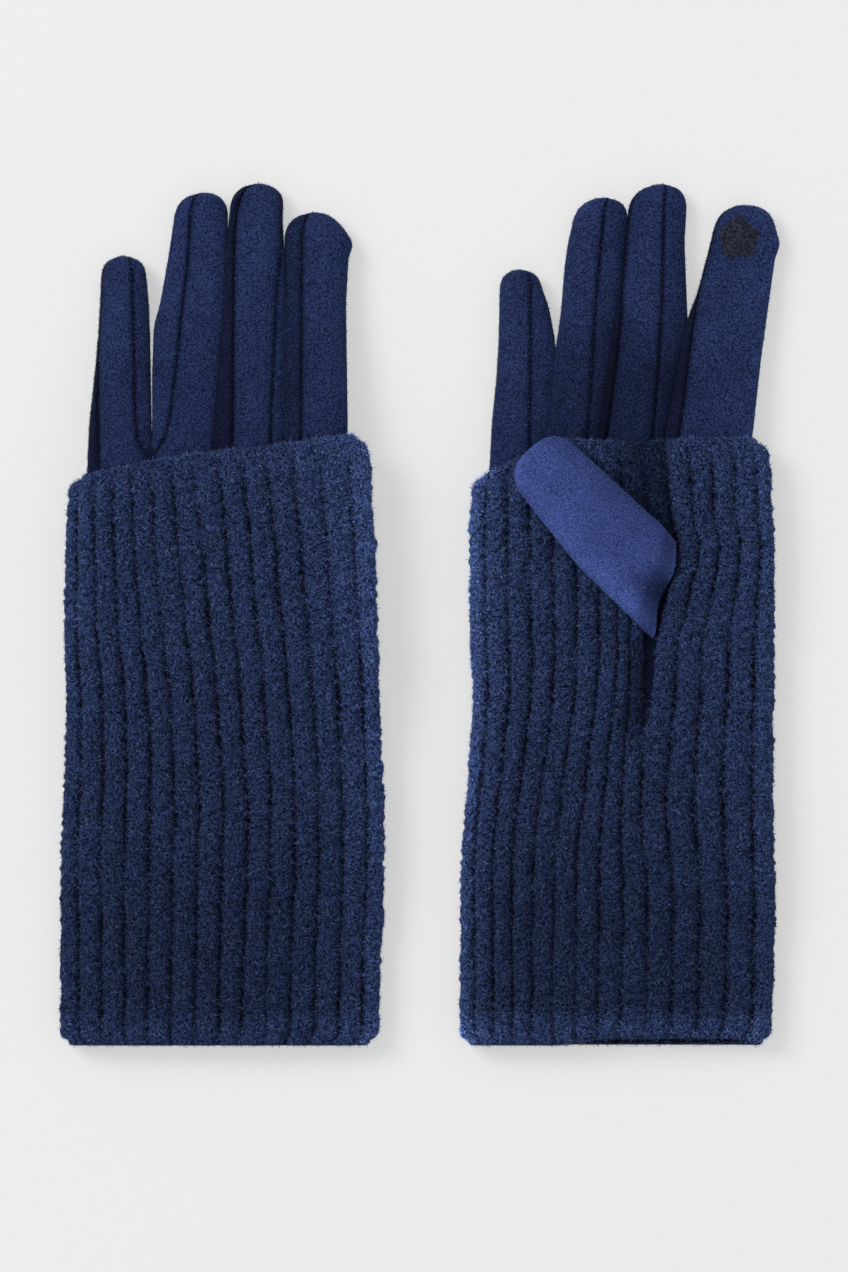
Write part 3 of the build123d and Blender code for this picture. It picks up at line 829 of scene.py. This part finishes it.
def make_hand(side, sleeve):
    """The inner glove's hand, as a soft flat tube that runs through the sleeve."""
    back_low, back_high = box_mm(f"{side}_hand_back")
    hem_low, hem_high = box_mm(f"{side}_glove_hem")
    around, rings = 96, 120
    y = np.linspace(hem_low[1], back_high[1] - 6.0, rings)
    angle = np.linspace(0, 2 * pi, around, endpoint=False)[None, :]
    across, up = rounded(angle, 3.2)
    left = np.interp(y, [hem_low[1], back_high[1]], [hem_low[0], back_low[0]])
    right = np.interp(y, [hem_low[1], back_high[1]], [hem_high[0], back_high[0]])
    x = ((left + right) / 2)[:, None] + ((right - left) / 2)[:, None] * across
    y = y[:, None] + 0 * x
    closing = np.sqrt(1 - np.clip((y - y.max() + 7.0) / 7.0, 0, 1) ** 2)
    # The raised left hand is thinner, which leaves room to pull the sleeve over it.
    half_thick, ahead = (3.6, 0.0) if sleeve.palm_up else (2.9, 7.0)
    z = sleeve.middle_z(x, y + ahead) - 0.2 + half_thick * up * closing + 0.3 * noise(x, y, 15.0, 77)
    points = np.stack([x, y, z], 2)
    cut = int((hem_high[1] - hem_low[1]) / (y.max() - hem_low[1]) * rings)
    half = around // 2
    columns = (np.arange(half + 1), np.arange(half, around + 1) % around)
    names = ("palm", "back") if sleeve.palm_up else ("back", "palm")
    for which, over in zip(names, columns):
        part = points[cut:][:, over]
        made = mesh_object(f"{side}_hand_suede_{which}", part, grid_faces(*part.shape[:2], False)[:, ::-1])
        # Painted shade over the whole hand, which lies in the dark inside the sleeve.
        attribute(made, "shade", 0.3 + 0 * part[:, :, 0])
        attribute(made, "painted_light", 1 + 0 * part[:, :, 0])
        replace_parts(dress(made, SUEDE_PAINTED_SHADE, f"{side}_glove"), f"{side}_hand_{which}")
        if which == "palm":
            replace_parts(made, f"{side}_thumb_root")
        else:
            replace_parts(made, f"{side}_fourchette_webs")
    hem = points[: cut + 1]
    made = mesh_object(f"{side}_hand_suede_hem", hem, grid_faces(*hem.shape[:2], True)[:, ::-1])
    attribute(made, "painted_light", 1 + 0 * hem[:, :, 0])
    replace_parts(dress(made, SUEDE_PAINTED_SHADE, f"{side}_glove"), f"{side}_glove_hem")


# ---------------------------------------------------------------- thumb


# The thumb's upper and lower edge: distance along it from its root, and distance from its axis.
THUMB_UPPER = [(-12, 15.5), (4, 16.6), (12, 16.8), (29, 15.8), (48, 14.8), (58, 14.0)]
THUMB_LOWER = [(-14, 11.0), (6, 11.9), (25, 12.9), (46, 11.0), (58, 9.6)]
THUMB_HALF_THICK = {"left": 3.1, "right": 4.0}  # the left one is pressed flat by its glove
THUMB_LENGTH = 65.4
THUMB_ANGLE = {"left": radians(145), "right": radians(134)}
THUMB_SLANT = 0.68  # how far the root line leans along the thumb


def soft_edge(forward, stations):
    """A soft curve through the stations of one edge of the thumb."""
    return sum(np.interp(forward + offset, *np.array(stations).T) for offset in (-4, 0, 4)) / 3


def make_thumb(side, sleeve):
    """The thumb, which comes up out of the slit and lies across the palm."""
    root = sleeve.root
    outer = 1 if sleeve.palm_up else -1
    length = THUMB_LENGTH
    along = np.array([cos(THUMB_ANGLE[side]), sin(THUMB_ANGLE[side])])
    aside = np.array([along[1], -along[0]])
    around, rings = 96, 150
    share = np.sin(np.linspace(0, pi / 2, rings)) ** 0.9
    forward = share * length
    upper, lower = soft_edge(forward, THUMB_UPPER), soft_edge(forward, THUMB_LOWER)
    half, centre = (upper + lower) / 2, (upper - lower) / 2
    cap = 0.95 * half[-1] / length
    close = (1 - np.clip((share - (1 - cap)) / cap, 0, 1) ** 2.8) ** (1 / 2.5)
    angle = np.linspace(0, 2 * pi, around, endpoint=False)[None, :]
    across, up = rounded(angle, 2.5)
    lateral = centre[:, None] + (half * close)[:, None] * across
    straight = step(forward, 0.0, 26.0)[:, None]
    bulge = 3.4 * hill(lateral, 10.0, 7.5) + 1.2 * hill(lateral, -9.0, 3.0)
    forward = forward[:, None] + (THUMB_SLANT * lateral - bulge) * (1 - straight)
    x = root[0] + along[0] * forward + aside[0] * lateral
    y = root[1] + along[1] * forward + aside[1] * lateral
    base = 1 - step(share * length, 0.0, 9.0)
    thick = THUMB_HALF_THICK[side] * close**0.8 * (1 - 0.55 * base)
    sink = -6.0 * base[:, None] ** 1.5 * (1 - 0.55 * step(lateral, 2.0, 10.0))
    hollow = -2.2 * np.exp(-(((lateral - 1.0) / 6.5) ** 2) - ((share * length)[:, None] / 11.0) ** 2)
    crown = root[2] + outer * (sink + hollow)
    dents = 0.5 * noise(x, y, 13.0, 901) + 0.2 * noise(x, y, 5.0, 902) + 0.06 * noise(x, y, 1.4, 903)
    swell = np.where(up * outer > 0, up, 0.8 * up)
    z = crown + (thick[:, None] + dents * close[:, None]) * swell
    z = np.clip(z, 0.15, None)
    points = np.stack([x, y, z], 2)
    made = mesh_object(f"{side}_thumb_suede", points, grid_faces(rings, around, True)[:, ::-1])
    # Painted shade in the hollow at the thumb's root and along its edges, a painted highlight along its
    # lower edge and painted shade towards its upper edge.
    reach = (share * length)[:, None]
    deep = np.exp(-(((lateral - 1.5 + 0.4 * reach) / 4.5) ** 2) - ((reach - 2.0) / 10.0) ** 2)
    attribute(made, "shade", np.clip(0.75 * deep + 0.12 * np.abs(across) ** 6, 0, 1))
    attribute(made, "painted_light", 1 + 0.3 * hill(across, -0.85, 0.35) - 0.22 * step(across, 0.1, 0.9) + 0 * x)
    dress(made, SUEDE_THUMB, f"{side}_thumb")
    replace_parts(made, f"{side}_thumb_outer", f"{side}_thumb_inner")
    nap = fibres(f"{side}_thumb_nap", made, 20000, (0.3, 0.7), (0.10, 0.20), (1, 1, 1), (0.1, 0.6), 390)
    dress(nap, NAP_THUMB, f"{side}_thumb")


# ---------------------------------------------------------------- touch patch


def make_patch(side, finger):
    """Embroidered conductive patch on the palm side of the index fingertip."""
    low, high = box_mm(f"{side}_touch_patch")
    centre = (low + high) / 2 + np.array([1.5, 0, 0])
    radius = 7.1
    face = 1 if finger.sleeve.palm_up else -1
    share = (centre[1] - finger.root[1]) / finger.length
    level = float(finger.middle_z(share)) + face * (HALF_THICK * 0.97 - 0.1)
    rings, around = 14, 80
    angle = np.linspace(0, 2 * pi, around, endpoint=False)[None, :]
    edge = radius * (0.88 + 0.12 * np.cos(5 * (angle - pi / 2)) + 0.04 * np.cos(3 * angle + 1))
    share = np.linspace(0.02, 1, rings)[:, None]
    x, y = centre[0] + edge * share * np.cos(angle), centre[1] + edge * share * np.sin(angle)
    z = level + face * (0.5 * (1 - share**4) + 0.1 * noise(x, y, 1.2, 71)) + 0 * x
    z = z - face * 0.02 * (x - centre[0]) ** 2 * 0.5
    faces = grid_faces(rings, around, True)[:, ::-face]
    made = mesh_object(f"{side}_touch_patch_pad", np.stack([x, y, z], 2), faces)
    attribute(made, "tone", 0.06 + 0 * x)
    attribute(made, "painted_light", 1 + 0 * x)
    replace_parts(dress(made, PATCH, f"{side}_index"), f"{side}_touch_patch")
    length, width, lie, rise = (0.5, 1.5), (0.14, 0.26), (1, 1, 1), (0.1, 0.6)
    loops = fibres(f"{side}_touch_patch_loops", made, 5200, length, width, lie, rise, 55)
    dress(loops, PATCH, f"{side}_index")


# ---------------------------------------------------------------- studio


FLOOR_SIDE = 3000.0  # millimetres
# The rest of the studio is in metres.
FLOOR_DROP = 0.0002
KEY_PLACE = (-2.2, 1.6, 2.6)
CAMERA_HEIGHT = 2.8
SEEN_LENGTH = 0.424  # of the table, from the lower to the upper side of the picture
CAMERA_ASIDE = (0.0022, -0.0068)  # from the middle of the pair


def make_studio():
    """Pale floor, soft light and the camera above."""
    half = FLOOR_SIDE / 2
    corners = [(-half, -half, 0), (half, -half, 0), (half, half, 0), (-half, half, 0)]
    floor = mesh_object("floor", corners, [(0, 1, 2, 3)])
    floor.location.z = -FLOOR_DROP
    floor.data.materials.append(pale_floor())
    world = bpy.data.worlds.new("studio")
    bpy.context.scene.world = world
    world.use_nodes = True
    world.node_tree.nodes["Background"].inputs["Color"].default_value = (1.0, 1.0, 1.0, 1)
    world.node_tree.nodes["Background"].inputs["Strength"].default_value = 0.72
    light = bpy.data.lights.new("key", "AREA")
    light.size, light.energy = 1.7, 110.0
    lamp = bpy.data.objects.new("key", light)
    lamp.location = KEY_PLACE
    lamp.rotation_euler = (-Vector(KEY_PLACE)).to_track_quat("-Z", "Y").to_euler()
    bpy.context.scene.collection.objects.link(lamp)
    low, high = CAD_BOX
    camera = bpy.data.cameras.new("camera")
    camera.sensor_fit = "VERTICAL"
    camera.sensor_height = 36.0
    camera.lens = camera.sensor_height * (CAMERA_HEIGHT - high[2] / 2) / SEEN_LENGTH
    camera.clip_end = 10
    eye = bpy.data.objects.new("camera", camera)
    middle = ((low[0] + high[0]) / 2, (low[1] + high[1]) / 2)
    eye.location = (middle[0] + CAMERA_ASIDE[0], middle[1] + CAMERA_ASIDE[1], CAMERA_HEIGHT)
    bpy.context.scene.collection.objects.link(eye)
    bpy.context.scene.camera = eye
    bpy.context.scene.view_settings.view_transform = "Standard"


make_studio()
for side in ("left", "right"):
    sleeve = make_sleeve(side)
    make_hand(side, sleeve)
    make_thumb(side, sleeve)
    made_fingers = {name: make_finger(side, name, sleeve) for name in FINGERS}
    make_patch(side, made_fingers["index"])
